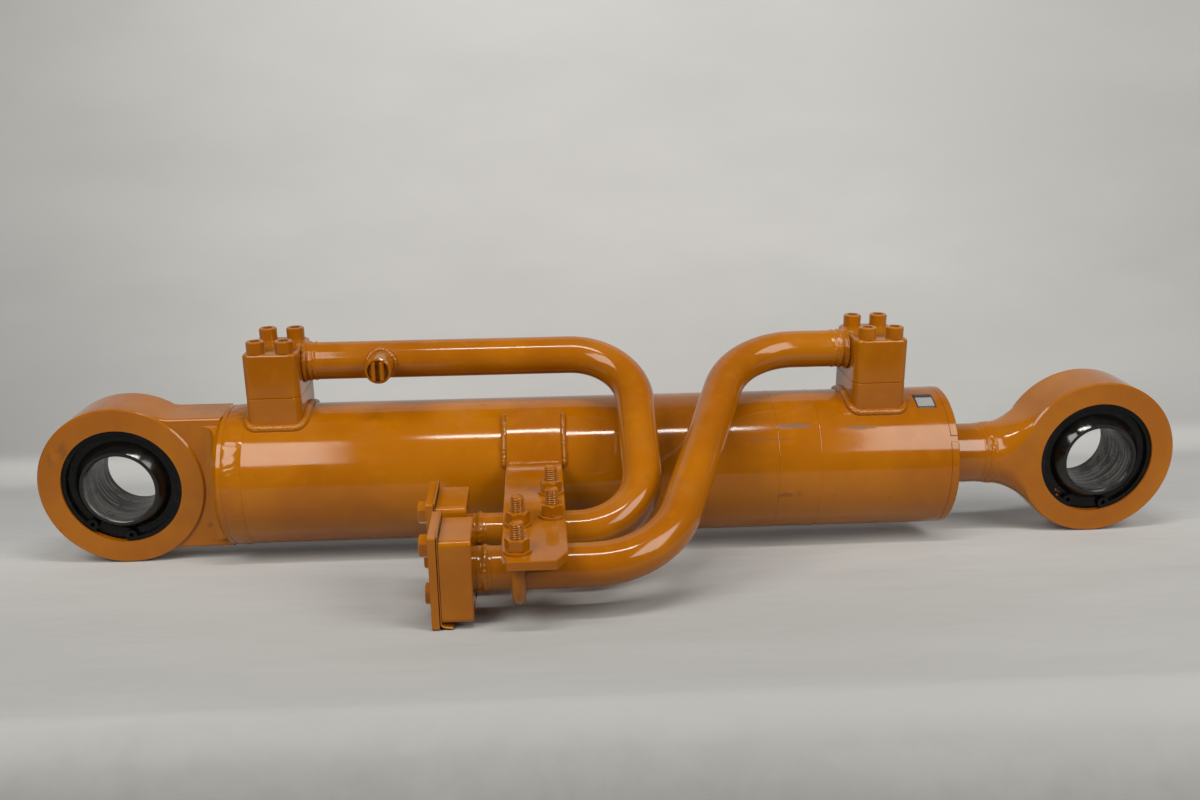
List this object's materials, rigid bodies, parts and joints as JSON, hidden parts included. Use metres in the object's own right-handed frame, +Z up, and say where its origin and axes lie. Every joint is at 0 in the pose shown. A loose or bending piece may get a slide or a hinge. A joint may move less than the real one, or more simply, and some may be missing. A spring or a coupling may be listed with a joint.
{
  "type": "hydraulic cylinder",
  "caption": "Double-acting hydraulic cylinder with a spherical bearing in each eye and two hard pipes that run along the barrel to blanked flange ends.",
  "frame": {"origin": "centre of the cap-end pin bore", "axes": "+X along the barrel towards the rod eye, Y along both pin bores with the pipes on the -Y side, +Z up"},
  "size_m": [1.181, 0.372, 0.232],
  "materials": {
    "enamel": "glossy ochre-orange machine enamel over steel",
    "chromed_rod": "hard chrome, ground and polished; the neck outside the gland is painted over",
    "bearing_steel": "phosphated bearing steel with a ground bore",
    "spring_steel": "blackened spring steel",
    "plain_steel": "turned steel",
    "bearing_bronze": "bearing bronze",
    "seal_rubber": "black nitrile rubber",
    "seal_polymer": "polyurethane and filled PTFE seals"
  },
  "bodies": {
    "barrel": {"cylinder_tube": "enamel", "cap_end": "enamel", "cap_weld": "enamel", "cap_port_boss": "enamel", "rod_port_boss": "enamel", "cap_port_boss_weld": "enamel", "rod_port_boss_weld": "enamel", "cap_pipe_block": "enamel", "rod_pipe_block": "enamel", "block_o_rings": "seal_rubber", "block_screws": "enamel", "cap_side_pipe": "enamel", "rod_side_pipe": "enamel", "pipe_block_welds": "enamel", "pipe_flange_welds": "enamel", "cap_flange_block": "enamel", "rod_flange_block": "enamel", "cap_blanking_plate": "enamel", "rod_blanking_plate": "enamel", "cap_gasket_sheet": "seal_rubber", "rod_gasket_sheet": "seal_rubber", "flange_o_rings": "seal_rubber", "blanking_bolts": "enamel", "saddle_pad": "enamel", "saddle_welds": "enamel", "clamp_plate": "enamel", "clamp_plate_welds": "enamel", "cap_u_bolt": "enamel", "rod_u_bolt": "enamel", "u_bolt_washers": "enamel", "u_bolt_nuts": "enamel", "test_port_boss": "enamel", "test_port_weld": "enamel", "test_port_washer": "enamel", "test_port_plug": "enamel", "gland": "enamel", "gland_lock_key": "enamel", "gland_bush": "bearing_bronze", "gland_buffer_seal": "seal_polymer", "rod_seal": "seal_polymer", "rod_wiper": "seal_rubber", "gland_o_ring": "seal_rubber", "gland_backup_ring": "seal_polymer", "cap_bearing_outer": "bearing_steel", "cap_circlips": "spring_steel"},
    "rod": {"rod": "chromed_rod", "rod_weld": "enamel", "rod_eye": "enamel", "rod_bearing_outer": "bearing_steel", "rod_circlips": "spring_steel", "piston": "plain_steel", "piston_nut": "plain_steel"},
    "piston_rings": {"piston_seal": "seal_polymer", "piston_seal_energiser": "seal_rubber", "piston_wear_rings": "seal_polymer"},
    "cap_bearing_ring": {"cap_bearing_inner": "bearing_steel"},
    "rod_bearing_ring": {"rod_bearing_inner": "bearing_steel"}
  },
  "joints": [
    {"name": "rod_slide", "type": "slide", "parent": "barrel", "child": "piston_rings", "axis": [1, 0, 0], "range_m": [0, 0.5]},
    {"name": "rod_turn", "type": "hinge", "parent": "piston_rings", "child": "rod", "pos_m": [0.5, 0, 0], "axis": [1, 0, 0], "continuous": true},
    {"name": "cap_bearing_turn", "type": "hinge", "parent": "barrel", "child": "cap_bearing_ring", "pos_m": [0, 0, 0], "axis": [0, 1, 0], "continuous": true},
    {"name": "rod_bearing_turn", "type": "hinge", "parent": "rod", "child": "rod_bearing_ring", "pos_m": [1.015, 0, 0], "axis": [0, 1, 0], "continuous": true}
  ]
}
